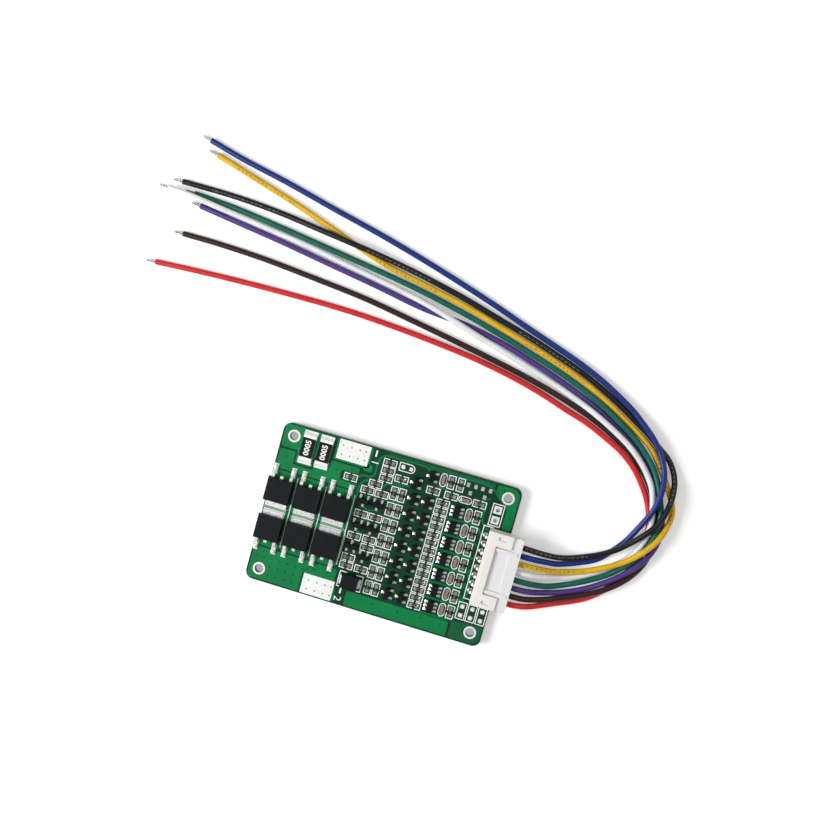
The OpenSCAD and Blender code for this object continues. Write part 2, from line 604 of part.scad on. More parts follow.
module legend() color("#eef0ec") {
    spots(concat(resistor_spots, bare_chips))
        bracket_pair(chip_l / 2 + ink_end, chip_w / 2 + ink_side, ink_gap);
    spots(capacitor_spots) round_frame(chip_l + 2 * ink_end, chip_w + 2 * ink_side - ink_w / 2);
    spots(diode_spots) bracket_pair(diode_l / 2 + ink_end, diode_w / 2 + ink_w, ink_break * diode_l);
    spots(bare_lamps) lamp_frame(lamp_l, lamp_w);
    spots(bare_pairs) frame(pair_l / 2, pair_w / 2);
    translate([sensor_x, edge_y - sensor_down, board_t])
        frame(sensor_pad / 2 + ink_pad, (sensor_pitch + sensor_pad) / 2 + ink_pad);
    spots([for (i = [1:fet_cols]) [fit * (fet_first + fet_pitch * (i - 0.5)) - edge_x, fit * field_y, 0]])
        ink(0, -fet_row - fet_line * fet_l, 0, fet_row + fet_line * fet_l);
    translate([0, 0, board_t]) {
        ink(shell_line_x, shell_line_y, shell_line_x, -shell_line_y);
        for (s = [-1, 1]) ink(shell_line_x, s * shell_line_y, shell_rear_x + band, s * shell_line_y);
    }
}

// One power transistor, its leads towards +X: outer leads, stub and heat tab
module fet_metal() translate([0, 0, pad_t]) {
    for (s = [-1, 1]) translate([fet_l / 2, s * fet_lead_pitch, 0])
        side_view(gull(fet_root, fet_lead_top, fet_metal_t, fet_lead_out), fet_lead_w);
    translate([fet_l / 2 - fet_root, -fet_lead_w / 2, fet_lead_top - fet_metal_t])
        cube([2 * fet_root, fet_lead_w, fet_metal_t]);
    translate([-fet_l / 2 - fet_tab_out, -fet_tab_w / 2, 0])
        cube([fet_l / 2 + fet_tab_out + fet_seat, fet_tab_w, fet_metal_t]);
}

module fet_body() difference() {
    translate([0, 0, pad_t]) moulded(fet_l, fet_w, fet_h, parting * fet_h, fet_lean);
    fet_metal();
    translate([fet_l / 4, 0, pad_t + fet_h - mark_depth]) cylinder(d = mark_d, h = past);
}

module mosfet_body(i) color("#232427") spots([fet_spots[i]]) rotate(90) fet_body();

module mosfet_leadframe(i) color("#b4b6b5") spots([fet_spots[i]]) rotate(90) fet_metal();

module shunt_body(i) color("#26282b") spots([shunt_spots[i]])
    chip_body(shunt_l, shunt_w, shunt_t, chip_plate);

module shunt_terminals(i) color("#c4c6c4") spots([shunt_spots[i]])
    chip_ends(shunt_l, shunt_w, shunt_t, shunt_end, chip_plate);

module chip_resistor_bodies() color("#202226") spots(resistor_spots)
    chip_body(chip_l, chip_w, resistor_t, chip_plate);

module chip_resistor_ends() color("#cfd0cd") spots(resistor_spots)
    chip_ends(chip_l, chip_w, resistor_t, chip_end, chip_plate);

module chip_capacitor_bodies() color("#9a7a58") spots(capacitor_spots)
    chip_body(chip_l, chip_w, capacitor_t, chip_plate);

module chip_capacitor_ends() color("#cfd0cd") spots(capacitor_spots)
    chip_ends(chip_l, chip_w, capacitor_t, chip_end, chip_plate);

// One small lead standing out of a body's face
module small_lead(face) translate([face, 0, pad_t])
    side_view(gull(sot_root, sot_exit, sot_lead_t, sot_lead_out), sot_lead_w);

module small_transistor_bodies() color("#1e1f22") spots(sot_spots) difference() {
    translate([0, 0, pad_t + sot_stand]) moulded(sot3_w, sot_l, sot_h, parting * sot_h, sot_lean);
    three_leads() small_lead(sot3_w / 2);
}

module small_transistor_leads() color("#b4b6b5") spots(sot_spots) three_leads() small_lead(sot3_w / 2);

module balance_ic(k) color("#1e1f22") spots([balance_spots[k]]) difference() {
    translate([0, 0, pad_t + sot_stand]) moulded(sot6_w, sot_l, sot_h, parting * sot_h, sot_lean);
    six_leads() small_lead(sot6_w / 2);
}

module balance_ic_leads() color("#b4b6b5") spots(balance_spots) six_leads() small_lead(sot6_w / 2);

// Side view of a diode lead: out of the end, down, and folded under the body
function folded() = [[-diode_tab_out, diode_tab_h - diode_metal_t], [-diode_tab_out, diode_tab_h],
    [diode_tab_out, diode_tab_h], [diode_tab_out, 0], [-diode_tab_in, 0], [-diode_tab_in, diode_metal_t],
    [diode_tab_out - diode_metal_t, diode_metal_t],
    [diode_tab_out - diode_metal_t, diode_tab_h - diode_metal_t]];

module diode_tabs() color("#b4b6b5") spots(diode_spots) for (a = [0, 180]) rotate(a)
    translate([diode_l / 2, 0, pad_t]) side_view(folded(), diode_tab_w);

module diode_body() color("#1d1e21") difference() {
    spots(diode_spots) translate([0, 0, pad_t + diode_metal_t])
        moulded(diode_l, diode_w, diode_h - diode_metal_t, diode_tab_h - 1.5 * diode_metal_t, diode_lean);
    diode_tabs();
}

// Side view of the bent pin: tip, bend and tail
pin_side = concat([[pin_tip, pin_z - pin_w / 2 + tip_taper], [pin_tip, pin_z + pin_w / 2 - tip_taper],
        [pin_tip - tip_l, pin_z + pin_w / 2]],
    [for (a = [0:15:90]) [pin_x + pin_bend - (pin_bend + pin_w / 2) * sin(a),
        pin_z - pin_bend + (pin_bend + pin_w / 2) * cos(a)]],
    [[pin_x - pin_w / 2, tail_l - tail_out], [pin_x - pin_w / 2 + tip_taper, -tail_out],
        [pin_x + pin_w / 2 - tip_taper, -tail_out], [pin_x + pin_w / 2, tail_l - tail_out]],
    [for (a = [90:-15:0]) [pin_x + pin_bend - (pin_bend - pin_w / 2) * sin(a),
        pin_z - pin_bend + (pin_bend - pin_w / 2) * cos(a)]],
    [[pin_tip - tip_l, pin_z - pin_w / 2]]);

module pins() for (i = [0:ways - 1]) translate([0, pin_y(i), 0]) side_view(pin_side, pin_w);

module header_pin(i) color("#c9b36a") translate([0, pin_y(i), 0]) side_view(pin_side, pin_w);

module header_solder() color("#bfc2c0") difference() {
    for (i = [0:ways - 1]) translate([pin_x, pin_y(i), 0]) {
        translate([0, 0, -pad_t]) cylinder(d = pin_hole, h = board_t + 2 * pad_t);
        translate([0, 0, -pad_t - joint_h]) cylinder(r1 = joint_r, r2 = pin_ring / 2, h = joint_h);
        translate([0, 0, seat]) cylinder(r1 = pin_ring / 2, r2 = joint_r, h = joint_top);
    }
    pins();
}

module header_shell() color("#efe9d8") difference() {
    side_view([[shell_rear_x, board_t], [shell_x, board_t], [shell_x, board_t + shell_h],
        [shell_rear_x + band, board_t + shell_h], [shell_rear_x + band, board_t + shell_h - band_drop],
        [shell_rear_x + shell_chamfer, board_t + shell_h - band_drop],
        [shell_rear_x, board_t + shell_h - band_drop - shell_chamfer]], shell_l);
    translate([cavity_x, -cavity_l / 2, board_t + shell_floor])
        cube([shell_depth, cavity_l, shell_h - shell_floor - shell_roof]);
    translate([shell_x - window_depth, -window_l / 2, board_t + shell_h / 2])
        cube([window_depth + past, window_l, shell_h]);
    for (s = [-1, 1]) translate([shell_x - pocket_in, s * (shell_l / 2 - pocket_side) - pocket_w / 2,
        board_t + shell_h - pocket_depth]) cube([pocket_l, pocket_w, past]);
    pins();
}

// Contact as it stands in the plug: a box around the pin and a crimped barrel
module contact(i) translate([0, pin_y(i), pin_z]) {
    translate([cavity_x + contact_back, -contact_w / 2, -contact_h / 2])
        cube([barrel_x - cavity_x - contact_back, contact_w, contact_h]);
    translate([barrel_x, 0, 0]) rotate([0, 90, 0]) cylinder(d = barrel_d, h = wire_x - barrel_x);
}

module crimp_contacts() color("#c9b36a") difference() {
    for (i = [0:ways - 1]) contact(i);
    pins();
}

module plug_housing() color("#e6ebee") difference() {
    union() {
        translate([cavity_x, -plug_l / 2, board_t + shell_floor])
            cube([shell_x - cavity_x, plug_l, plug_top - board_t - shell_floor]);
        translate([shell_x, -grip_w / 2, grip_low]) cube([grip_l, grip_w, grip_high - grip_low]);
        for (s = [-1, 1])
            translate([shell_x - window_depth + rib_back, s * rib_y - rib_w / 2, plug_top - past])
                cube([window_depth + grip_l - rib_short, rib_w, past + rib_h]);
        for (s = [-1, 1]) translate([shell_x + grip_l - ear_h - ear_w / 2,
            s * (shell_l / 2 + ear_out - ear_w / 2) - ear_w / 2, grip_high - ear_h])
            cube([ear_h, ear_w, ear_h]);
    }
    for (i = [0:ways - 1]) translate([0, pin_y(i), pin_z]) {
        translate([cavity_x - past, -contact_w / 2, -contact_h / 2])
            cube([barrel_x - cavity_x + past, contact_w, contact_h]);
        translate([barrel_x - past, 0, 0]) rotate([0, 90, 0])
            cylinder(d = lead_hole, h = grip_l + barrel_in + 2 * past);
    }
}

// Route of one lead: its first points follow the contact, the rest lies on the standing surface
function follow(k) = max(0, 1 - k / blend);
function route(i) = let (r = routes[i], start = [wire_x, pin_y(i), pin_z] - r[0])
    [for (k = [0:len(r) - 1]) r[k] + follow(k) * start + (1 - follow(k)) * [0, 0, rest_z]];

// Smooth curve through a route, its ends carried on straight
function point(r, k) = k < 0 ? 2 * r[0] - r[1] : k >= len(r) ? 2 * r[len(r) - 1] - r[len(r) - 2] : r[k];
function between(a, b, c, d, t) =
    0.5 * (2 * b + (c - a) * t + (2 * a - 5 * b + 4 * c - d) * t * t + (3 * b - a - 3 * c + d) * t * t * t);
function slope(a, b, c, d, t) =
    0.5 * ((c - a) + 2 * (2 * a - 5 * b + 4 * c - d) * t + 3 * (3 * b - a - 3 * c + d) * t * t);
function lifted(p) = [p[0], p[1], max(p[2], rest_z)];
function steps(r, k) = ceil(norm(r[k + 1] - r[k]) / ring_step);
function curve(r) = [for (k = [0:len(r) - 2], n = [steps(r, k)], j = [0:n - 1])
    [lifted(between(point(r, k - 1), r[k], r[k + 1], point(r, k + 2), j / n)),
        slope(point(r, k - 1), r[k], r[k + 1], point(r, k + 2), j / n)]];
function whole(r) = let (n = len(r)) concat(curve(r), [[lifted(r[n - 1]), r[n - 1] - r[n - 2]]]);

// One ring of the tube, square to the curve
function ring_points(p, dir) = let (f = dir / norm(dir), s = cross([0, 0, 1], f) / norm(cross([0, 0, 1], f)),
    u = cross(f, s)) [for (a = [0:sides - 1])
        p + wire_d / 2 * (cos(360 / sides * (a + 0.5)) * s + sin(360 / sides * (a + 0.5)) * u)];

function panel(k, a) = let (b = (a + 1) % sides)
    [[k, a], [k + 1, a], [k + 1, b], [k, b]] * [sides, 1];
module tube(rings) polyhedron(
    points = [for (q = rings, v = ring_points(q[0], q[1])) v],
    faces = concat([[for (a = [0:sides - 1]) a], [for (a = [sides - 1:-1:0]) (len(rings) - 1) * sides + a]],
        [for (k = [0:len(rings) - 2], a = [0:sides - 1]) panel(k, a)]));

module wire(i) color(wire_colours[i][1]) tube(whole(route(i)));

module tinned_tips() color("#c3c5c4") for (i = [0:ways - 1]) {
    r = route(i);
    d = r[len(r) - 1] - r[len(r) - 2];
    translate(lifted(r[len(r) - 1])) rotate([0, acos(d[2] / norm(d)), atan2(d[1], d[0])])
        cylinder(d = strand_d, h = strip_l);
}

circuit_board();
plated_holes();
chip_pads();
transistor_pads();
power_pads();
legend();
for (i = [0:2 * fet_cols - 1]) {
    mosfet_body(i);
    mosfet_leadframe(i);
}
for (i = [0:1]) {
    shunt_body(i);
    shunt_terminals(i);
}
chip_resistor_bodies();
chip_resistor_ends();
chip_capacitor_bodies();
chip_capacitor_ends();
small_transistor_bodies();
small_transistor_leads();
for (k = [0:channels - 1]) balance_ic(k);
balance_ic_leads();
diode_body();
diode_tabs();
header_shell();
for (i = [0:ways - 1]) header_pin(i);
header_solder();
plug_housing();
crimp_contacts();
for (i = [0:ways - 1]) wire(i);
tinned_tips();
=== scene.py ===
import math

import bmesh
import random
import bpy
from mathutils.geometry import tessellate_polygon
from mathutils import Matrix, Vector


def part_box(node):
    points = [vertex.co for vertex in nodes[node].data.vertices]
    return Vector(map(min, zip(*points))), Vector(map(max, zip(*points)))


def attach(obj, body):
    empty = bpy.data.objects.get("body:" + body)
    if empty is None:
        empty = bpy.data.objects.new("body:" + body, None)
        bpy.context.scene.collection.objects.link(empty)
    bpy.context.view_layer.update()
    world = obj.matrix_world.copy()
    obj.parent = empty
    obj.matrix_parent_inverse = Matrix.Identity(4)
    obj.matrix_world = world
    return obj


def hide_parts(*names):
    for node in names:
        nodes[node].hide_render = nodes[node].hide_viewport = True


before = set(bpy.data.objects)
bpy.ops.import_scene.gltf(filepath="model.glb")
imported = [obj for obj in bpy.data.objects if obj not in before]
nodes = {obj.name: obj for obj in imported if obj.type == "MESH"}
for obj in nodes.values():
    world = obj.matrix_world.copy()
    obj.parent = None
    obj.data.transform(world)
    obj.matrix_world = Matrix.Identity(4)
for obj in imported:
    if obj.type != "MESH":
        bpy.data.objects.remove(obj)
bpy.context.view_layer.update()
MM = 0.001

# ---------------------------------------------------------------- camera

CAMERA_AT = (26.91, 56.93, 275.0)
# The camera's right, down and forward directions, and its field of view
RIGHT = (0.95663805, 0.26706056, -0.11628545)
DOWN = (0.27570624, -0.9589929, 0.06571667)
FORWARD = (-0.09396659, -0.09492769, -0.99103936)
LENS = 49.35

cam_data = bpy.data.cameras.new("camera")
cam_data.lens = LENS
cam_data.sensor_fit = "HORIZONTAL"
cam_data.sensor_width = 36
cam_data.clip_start = 0.01
cam_data.clip_end = 20
camera = bpy.data.objects.new("camera", cam_data)
bpy.context.scene.collection.objects.link(camera)
axes = Matrix((RIGHT, [-v for v in DOWN], [-v for v in FORWARD])).transposed().to_4x4()
camera.matrix_world = Matrix.Translation(Vector(CAMERA_AT) * MM) @ axes
bpy.context.scene.camera = camera

# ---------------------------------------------------------------- leads

WIRE_D = 1.4
REST_Z = 0.0
ROUTES = {
    "black": [
        [32.5, 7, 4], [34.5, 7, 4], [37, 6.9, 3.8], [39.6, 6.8, 3.1], [42.2, 6.9, 2.3],
        [45, 7.5, 1.6], [48.2, 8.7, 1.2], [51.4, 10.2, 1.2], [54.7, 12.4, 1.5], [57.6, 15.2, 2.1],
        [60.1, 18.1, 2.9], [62.3, 21.4, 3.2], [63.4, 25.3, 3.1], [63.7, 29.1, 2.1],
        [63, 32.8, 0.8], [60.9, 36.1, 0.1], [57.7, 38.5, 0], [54.5, 40.8, 0], [50.6, 43.1, 0],
        [46.2, 45.6, 0], [41.3, 48.1, 0], [35.8, 50.5, 0], [29.2, 52.8, 0], [21.6, 55.2, 0],
        [12.9, 57.6, 0], [3.3, 60.2, 0], [-7.5, 62.6, 0.1], [-17, 64.3, 0.9], [-25.2, 65.5, 1.5],
        [-33.5, 66.6, 1], [-44.9, 68.1, 0], [-56.9, 69, 0], [-70.2, 69.2, 0]
    ],
    "blue": [
        [32.5, 5, 4], [34.5, 5, 4], [37, 5, 3.7], [39.6, 5.1, 2.9], [42.1, 5.2, 2], [44.8, 5.9, 1],
        [48, 7.1, 0.3], [51.1, 8.7, 0], [53.9, 11.5, 0], [56.3, 14.7, 0.3], [58, 18.2, 1.2],
        [59.4, 21.7, 2.5], [60.6, 25.4, 3.2], [60.9, 29.4, 3.1], [60.3, 33.3, 2.4],
        [58.6, 36.8, 1.8], [56.1, 39.9, 1.5], [53.1, 42.5, 1.3], [49.5, 45.2, 0.8],
        [45.2, 47.7, 0.6], [40.3, 50.2, 0.4], [34.7, 52.5, 0.2], [28.1, 54.8, 0], [20.5, 57.3, 0],
        [12, 60.2, 0], [2.5, 63.2, 0], [-8.1, 66.3, 0], [-19.7, 69.4, 0], [-32.3, 72.4, 0],
        [-44.9, 75.5, 0], [-56.7, 78.1, 0], [-65.8, 80.5, 0]
    ],
    "yellow": [
        [32.5, 3, 4], [34.5, 3, 4], [37, 3, 3.7], [39.6, 3.1, 3], [42.2, 3.3, 2.2], [45, 4, 1.6],
        [48.3, 5, 1.2], [51.5, 6.5, 1.3], [54.9, 8.5, 1.7], [58, 10.9, 2.3], [60.7, 13.8, 3],
        [63, 17, 2.8], [64.5, 20.6, 1.8], [64.9, 24.5, 1.2], [63.4, 28.1, 0.9], [61.2, 31.4, 0.6],
        [58.8, 34.6, 0.2], [56.2, 37.7, 0], [52.5, 40.2, 0], [48.2, 42.7, 0], [43.4, 45.4, 0],
        [38, 48, 0], [31.4, 50.5, 0], [23.8, 53, 0], [15.2, 55.4, 0], [5.5, 58.1, 0],
        [-5.2, 60.4, 0], [-17, 62.9, 0], [-29.3, 67, 0], [-41.6, 71.1, 0], [-53.1, 74.5, 0],
        [-63.3, 77.5, 0]
    ],
    "white": [
        [32.5, 1, 4], [34.5, 1, 4], [37, 1.1, 3.6], [39.5, 1.3, 2.7], [41.9, 1.7, 1.7],
        [44.7, 2.3, 0.8], [47.9, 3.5, 0.2], [51, 5.2, 0], [54.2, 7.5, 0], [57.2, 10.2, 0.1],
        [59.5, 13.4, 0.6], [60.6, 17.1, 1.4], [60.8, 21.1, 1.6], [60, 25, 1.5], [58.7, 28.8, 1.5],
        [56.4, 32.1, 1.4], [53.6, 34.9, 1.3], [50.4, 37.3, 1.3], [46.5, 39.5, 1.2], [42, 41.7, 1],
        [36.9, 43.8, 0.7], [31.3, 45.8, 0.2], [24.6, 47.9, 0], [17, 50.2, 0.3], [9.5, 52.3, 1],
        [3.2, 54.2, 1.5], [-3.5, 56.1, 1], [-11.9, 57.9, 0.1], [-23.7, 60, 0], [-36.5, 62.2, 0],
        [-48, 63.8, 0], [-56, 64.9, 0.7], [-63.4, 65.9, 1.4], [-68.5, 66.5, 1.4], [-73, 66.9, 1]
    ],
    "green": [
        [32.5, -1, 4], [34.5, -1, 4], [37, -1, 3.6], [39.5, -0.9, 2.6], [41.9, -0.6, 1.6],
        [44.6, 0.3, 0.7], [47.8, 1.7, 0.2], [50.9, 3.4, 0], [54.2, 5.6, 0.2], [57, 8.3, 0.9],
        [59.6, 11.3, 1.3], [61.5, 14.8, 1.5], [62.5, 18.7, 1.6], [62.5, 22.7, 1.7],
        [61.4, 26.5, 1.6], [59.8, 30.2, 1.4], [57.7, 33.5, 1.1], [54.9, 36.4, 0.8],
        [51.4, 39.2, 0.7], [47.1, 41.8, 0.8], [42.3, 44.4, 0.6], [36.8, 46.9, 0.3],
        [30.3, 49.3, 0.1], [22.6, 51.7, 0], [14, 54.2, 0], [4.3, 56.7, 0], [-6.5, 59, 0],
        [-18.3, 61, 0], [-31.1, 62.9, 0], [-44, 64.8, 0], [-55.9, 66.3, 0], [-66.6, 67.1, 0]
    ],
    "purple": [
        [32.5, -3, 4], [34.5, -3, 4], [36.9, -3, 3.5], [39.3, -2.8, 2.4], [41.8, -2.3, 1.3],
        [44.6, -1.6, 0.5], [47.8, -0.3, 0.2], [50.9, 1.4, 0.3], [54.1, 3.7, 0.9], [57.1, 6.3, 1.4],
        [59.8, 9.2, 1.7], [62.1, 12.5, 1.7], [63.5, 16.2, 1.2], [63.7, 20.1, 0.5],
        [62.6, 23.9, 0.2], [60.9, 27.5, 0], [58.7, 30.8, 0], [56, 33.8, 0], [52.6, 36.7, 0],
        [48.4, 39.5, 0], [43.6, 42.2, 0], [38.2, 44.7, 0], [31.6, 47.2, 0], [24, 49.7, 0],
        [15.4, 52.2, 0], [5.6, 54.1, 0], [-5.4, 55.2, 0], [-17.2, 57.3, 0], [-30, 59.4, 0],
        [-42.8, 61.5, 0], [-54.7, 63.2, 0], [-64.4, 64.6, 0]
    ],
    "brown": [
        [32.5, -5, 4], [34.5, -5, 4], [37, -4.9, 3.6], [39.4, -4.5, 2.8], [42, -3.8, 2],
        [44.8, -2.8, 1.4], [48, -1.5, 1.2], [51.1, 0.1, 1.3], [54.5, 2.2, 1.5], [57.6, 4.8, 1.5],
        [60.2, 7.7, 0.9], [62.1, 11.2, 0.3], [62.7, 15.1, 0], [62.3, 19.1, 0], [61.4, 22.9, 0],
        [59.7, 26.6, 0], [57.5, 29.9, 0], [54.8, 32.8, 0], [51.3, 35.7, 0], [46.9, 38.1, 0],
        [41.9, 40.4, 0], [36.3, 42.4, 0], [29.6, 44.4, 0], [21.8, 46.3, 0], [13, 48.1, 0],
        [3.1, 49.9, 0], [-7.7, 51.8, 0], [-19.5, 53.7, 0], [-32.5, 55.1, 0], [-45.4, 56.3, 0],
        [-57.4, 56.9, 0], [-66.9, 57, 0]
    ],
    "red": [
        [32.5, -7, 4], [34.5, -7, 4], [36.9, -6.8, 3.5], [39.3, -6.3, 2.5], [41.8, -5.4, 1.5],
        [44.5, -4.3, 0.7], [47.7, -3, 0.1], [50.8, -1.4, 0], [53.9, 1.1, 0], [56.6, 4.1, 0],
        [58.7, 7.5, 0], [60.4, 11.1, 0], [61.2, 15, 0], [60.8, 18.9, 0], [59.8, 22.8, 0],
        [58.1, 26.4, 0], [55.7, 29.7, 0.1], [53, 32.6, 0.5], [49.4, 35.2, 0.4], [44.9, 37.4, 0.2],
        [39.8, 39.5, 0.1], [34.1, 41.2, 0.1], [27.4, 43.3, 0.1], [19.6, 45.2, 0], [10.8, 46.8, 0],
        [0.9, 48, 0], [-10.1, 49, 0], [-22.1, 49.7, 0], [-35.1, 49.8, 0], [-48.1, 49.6, 0],
        [-60.1, 49.2, 0], [-71.9, 48.6, 0]
    ]
}

def catmull(a, b, c, d, t):
    return 0.5 * (2 * b + (c - a) * t + (2 * a - 5 * b + 4 * c - d) * t * t
                  + (3 * b - a - 3 * c + d) * t ** 3)


def smooth(points, step):
    """The route's smooth curve as points about a step apart, its ends carried straight on."""
    p = [Vector(q) for q in points]
    p = [2 * p[0] - p[1]] + p + [2 * p[-1] - p[-2]]
    out = []
    for k in range(1, len(p) - 2):
        n = math.ceil((p[k + 1] - p[k]).length / step)
        out += [catmull(p[k - 1], p[k], p[k + 1], p[k + 2], j / n) for j in range(n)]
    out.append(p[-2])
    for q in out:
        q.z = max(q.z, REST_Z)
    return out


def link(obj, body="root"):
    bpy.context.scene.collection.objects.link(obj)
    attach(obj, body)
    return obj


def mesh_object(name, bm, smooth_angle=None):
    mesh = bpy.data.meshes.new(name)
    bm.normal_update()
    bm.to_mesh(mesh)
    bm.free()
    if smooth_angle is not None:
        mesh.shade_smooth()
        mesh.set_sharp_from_angle(angle=math.radians(smooth_angle))
    return link(bpy.data.objects.new(name, mesh))


def tube(name, path, radius, sides=20):
    """A closed round tube along a path in metres."""
    bm = bmesh.new()
    rings = []
    along = bm.loops.layers.uv.new("along")
    length = [0.0]
    for a, b in zip(path, path[1:]):
        length.append(length[-1] + (b - a).length)
    for k, p in enumerate(path):
        f = (path[min(k + 1, len(path) - 1)] - path[max(k - 1, 0)]).normalized()
        s = Vector((0, 0, 1)).cross(f).normalized()
        u = f.cross(s)
        rings.append([bm.verts.new(p + radius * (math.cos(2 * math.pi * i / sides) * s
                                                 + math.sin(2 * math.pi * i / sides) * u))
                      for i in range(sides)])
    for k in range(len(rings) - 1):
        for i in range(sides):
            j = (i + 1) % sides
            face = bm.faces.new((rings[k][i], rings[k][j], rings[k + 1][j], rings[k + 1][i]))
            uv = ((i, k), (i + 1, k), (i + 1, k + 1), (i, k + 1))
            for loop, (a, b) in zip(face.loops, uv):
                loop[along].uv = (a / sides, length[b] * 1000)
    bm.faces.new(list(reversed(rings[0])))
    bm.faces.new(rings[-1])
    bmesh.ops.recalc_face_normals(bm, faces=bm.faces)
    return mesh_object(name, bm, 40)


strands = {}
for colour in ROUTES:
    # Seven tinned strands, twisted, stand for the bare end of each lead
    end = [Vector(q) for q in ROUTES[colour][-2:]]
    way = (end[1] - end[0]).normalized()
    foot = end[1] * MM
    side = Vector((0, 0, 1)).cross(way).normalized()
    up = way.cross(side)
    bm = bmesh.new()
    for s in range(7):
        rows = []
        for k in range(9):
            t = k / 8
            reach = 0.0 if s == 0 else 0.235 * (1 - 0.15 * t)
            turn = 2 * math.pi * (s / 6 + 0.45 * t)
            mid = foot + MM * (way * (2.3 * t - 0.02) + reach * (math.cos(turn) * side + math.sin(turn) * up))
            size = 0.118 * MM
            rows.append([bm.verts.new(mid + size * (math.cos(a) * side + math.sin(a) * up))
                         for a in [2 * math.pi * i / 10 for i in range(10)]])
        for a, b in zip(rows, rows[1:]):
            for i in range(10):
                bm.faces.new((a[i], a[(i + 1) % 10], b[(i + 1) % 10], b[i]))
        bm.faces.new(list(reversed(rows[0])))
        bm.faces.new(rows[-1])
    bmesh.ops.recalc_face_normals(bm, faces=bm.faces)
    strands[colour] = mesh_object("strands_" + colour, bm, 40)
    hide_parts("tinned_tips")

wires = {}
for colour, points in ROUTES.items():
    path = [q * MM for q in smooth(points, 1.0)]
    wires[colour] = tube("lead_" + colour, path, WIRE_D / 2 * MM)
    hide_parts("wire_" + colour)

# ---------------------------------------------------------------- materials


class Nodes:
    """A material's node tree, with short calls for the nodes used here."""

    def __init__(self, name):
        self.mat = bpy.data.materials.new(name)
        self.mat.use_nodes = True
        self.tree = self.mat.node_tree
        self.bsdf = self.tree.nodes["Principled BSDF"]
        self.coord = self.tree.nodes.new("ShaderNodeTexCoord").outputs["Object"]

    def new(self, kind, **values):
        node = self.tree.nodes.new(kind)
        for key, value in values.items():
            setattr(node, key, value)
        return node

    def link(self, a, b):
        self.tree.links.new(a, b)

    def noise(self, size_mm, detail=3, rough=0.55, stretch=(1, 1, 1)):
        """Noise between 0 and 1 with features of about that size."""
        scale = self.new("ShaderNodeVectorMath", operation="MULTIPLY")
        self.link(self.coord, scale.inputs[0])
        scale.inputs[1].default_value = [v * 1000 / size_mm for v in stretch]
        n = self.new("ShaderNodeTexNoise")
        self.link(scale.outputs[0], n.inputs["Vector"])
        n.inputs["Scale"].default_value = 1
        n.inputs["Detail"].default_value = detail
        n.inputs["Roughness"].default_value = rough
        return n.outputs["Fac"]

    def math(self, op, a, b=0.0, clamp=False):
        m = self.new("ShaderNodeMath", operation=op, use_clamp=clamp)
        for i, v in enumerate((a, b)):
            if isinstance(v, (int, float)):
                m.inputs[i].default_value = v
            else:
                self.link(v, m.inputs[i])
        return m.outputs[0]

    def ramp(self, fac, low, high, to_low=0.0, to_high=1.0):
        r = self.new("ShaderNodeMapRange", clamp=True)
        self.link(fac, r.inputs["Value"])
        for key, v in (("From Min", low), ("From Max", high), ("To Min", to_low), ("To Max", to_high)):
            r.inputs[key].default_value = v
        return r.outputs["Result"]

    def mix(self, fac, a, b):
        m = self.new("ShaderNodeMix", data_type="RGBA")
        self.link(fac, m.inputs["Factor"])
        for key, v in ((6, a), (7, b)):
            if isinstance(v, tuple):
                m.inputs[key].default_value = (*v, 1)
            else:
                self.link(v, m.inputs[key])
        return m.outputs[2]

    def up(self):
        """The surface's own direction, as x, y and z."""
        g = self.new("ShaderNodeNewGeometry")
        s = self.new("ShaderNodeSeparateXYZ")
        self.link(g.outputs["Normal"], s.inputs[0])
        return s.outputs

    def place(self):
        s = self.new("ShaderNodeSeparateXYZ")
        self.link(self.coord, s.inputs[0])
        return s.outputs

    def bump(self, height, distance_mm, strength=1.0):
        b = self.new("ShaderNodeBump")
        b.inputs["Strength"].default_value = strength
        b.inputs["Distance"].default_value = distance_mm * MM
        self.link(height, b.inputs["Height"])
        self.link(b.outputs[0], self.bsdf.inputs["Normal"])

    def finish(self, colour, rough=None, metal=0.0, **sockets):
        if isinstance(colour, tuple):
            self.bsdf.inputs["Base Color"].default_value = (*colour, 1)
        else:
            self.link(colour, self.bsdf.inputs["Base Color"])
        if isinstance(rough, (int, float)):
            self.bsdf.inputs["Roughness"].default_value = rough
        elif rough is not None:
            self.link(rough, self.bsdf.inputs["Roughness"])
        self.bsdf.inputs["Metallic"].default_value = metal
        for key, v in sockets.items():
            self.bsdf.inputs[key.replace("_", " ")].default_value = v
        return self.mat


def shade(colour, factor):
    return tuple(min(1.0, v * factor) for v in colour)


def moulded(name, colour, rough=0.5, spread=0.08, grain_mm=0.12, grain=0.006, cloud_mm=2.5, **sockets):
    """Moulded plastic or ceramic: cloudy colour, fine grain and uneven gloss."""
    n = Nodes(name)
    cloud = n.noise(cloud_mm, 4)
    fine = n.noise(grain_mm, 3, 0.6)
    base = n.mix(n.ramp(cloud, 0.3, 0.7), shade(colour, 1 - spread), shade(colour, 1 + spread))
    n.bump(fine, grain)
    return n.finish(base, n.ramp(fine, 0.3, 0.7, rough - 0.06, rough + 0.08), **sockets)


def metal(name, colour, rough=0.3, metallic=0.85, grain_mm=0.15, grain=0.01, spread=0.12, stretch=(1, 1, 1)):
    """Tin, solder or plated metal: patchy brightness, wavy surface and uneven gloss."""
    n = Nodes(name)
    patch = n.noise(0.6, 3)
    fine = n.noise(grain_mm, 4, 0.6, stretch)
    base = n.mix(n.ramp(patch, 0.3, 0.7), shade(colour, 1 - spread), shade(colour, 1 + spread))
    n.bump(fine, grain)
    return n.finish(base, n.ramp(patch, 0.3, 0.7, rough - 0.08, rough + 0.12), metallic)


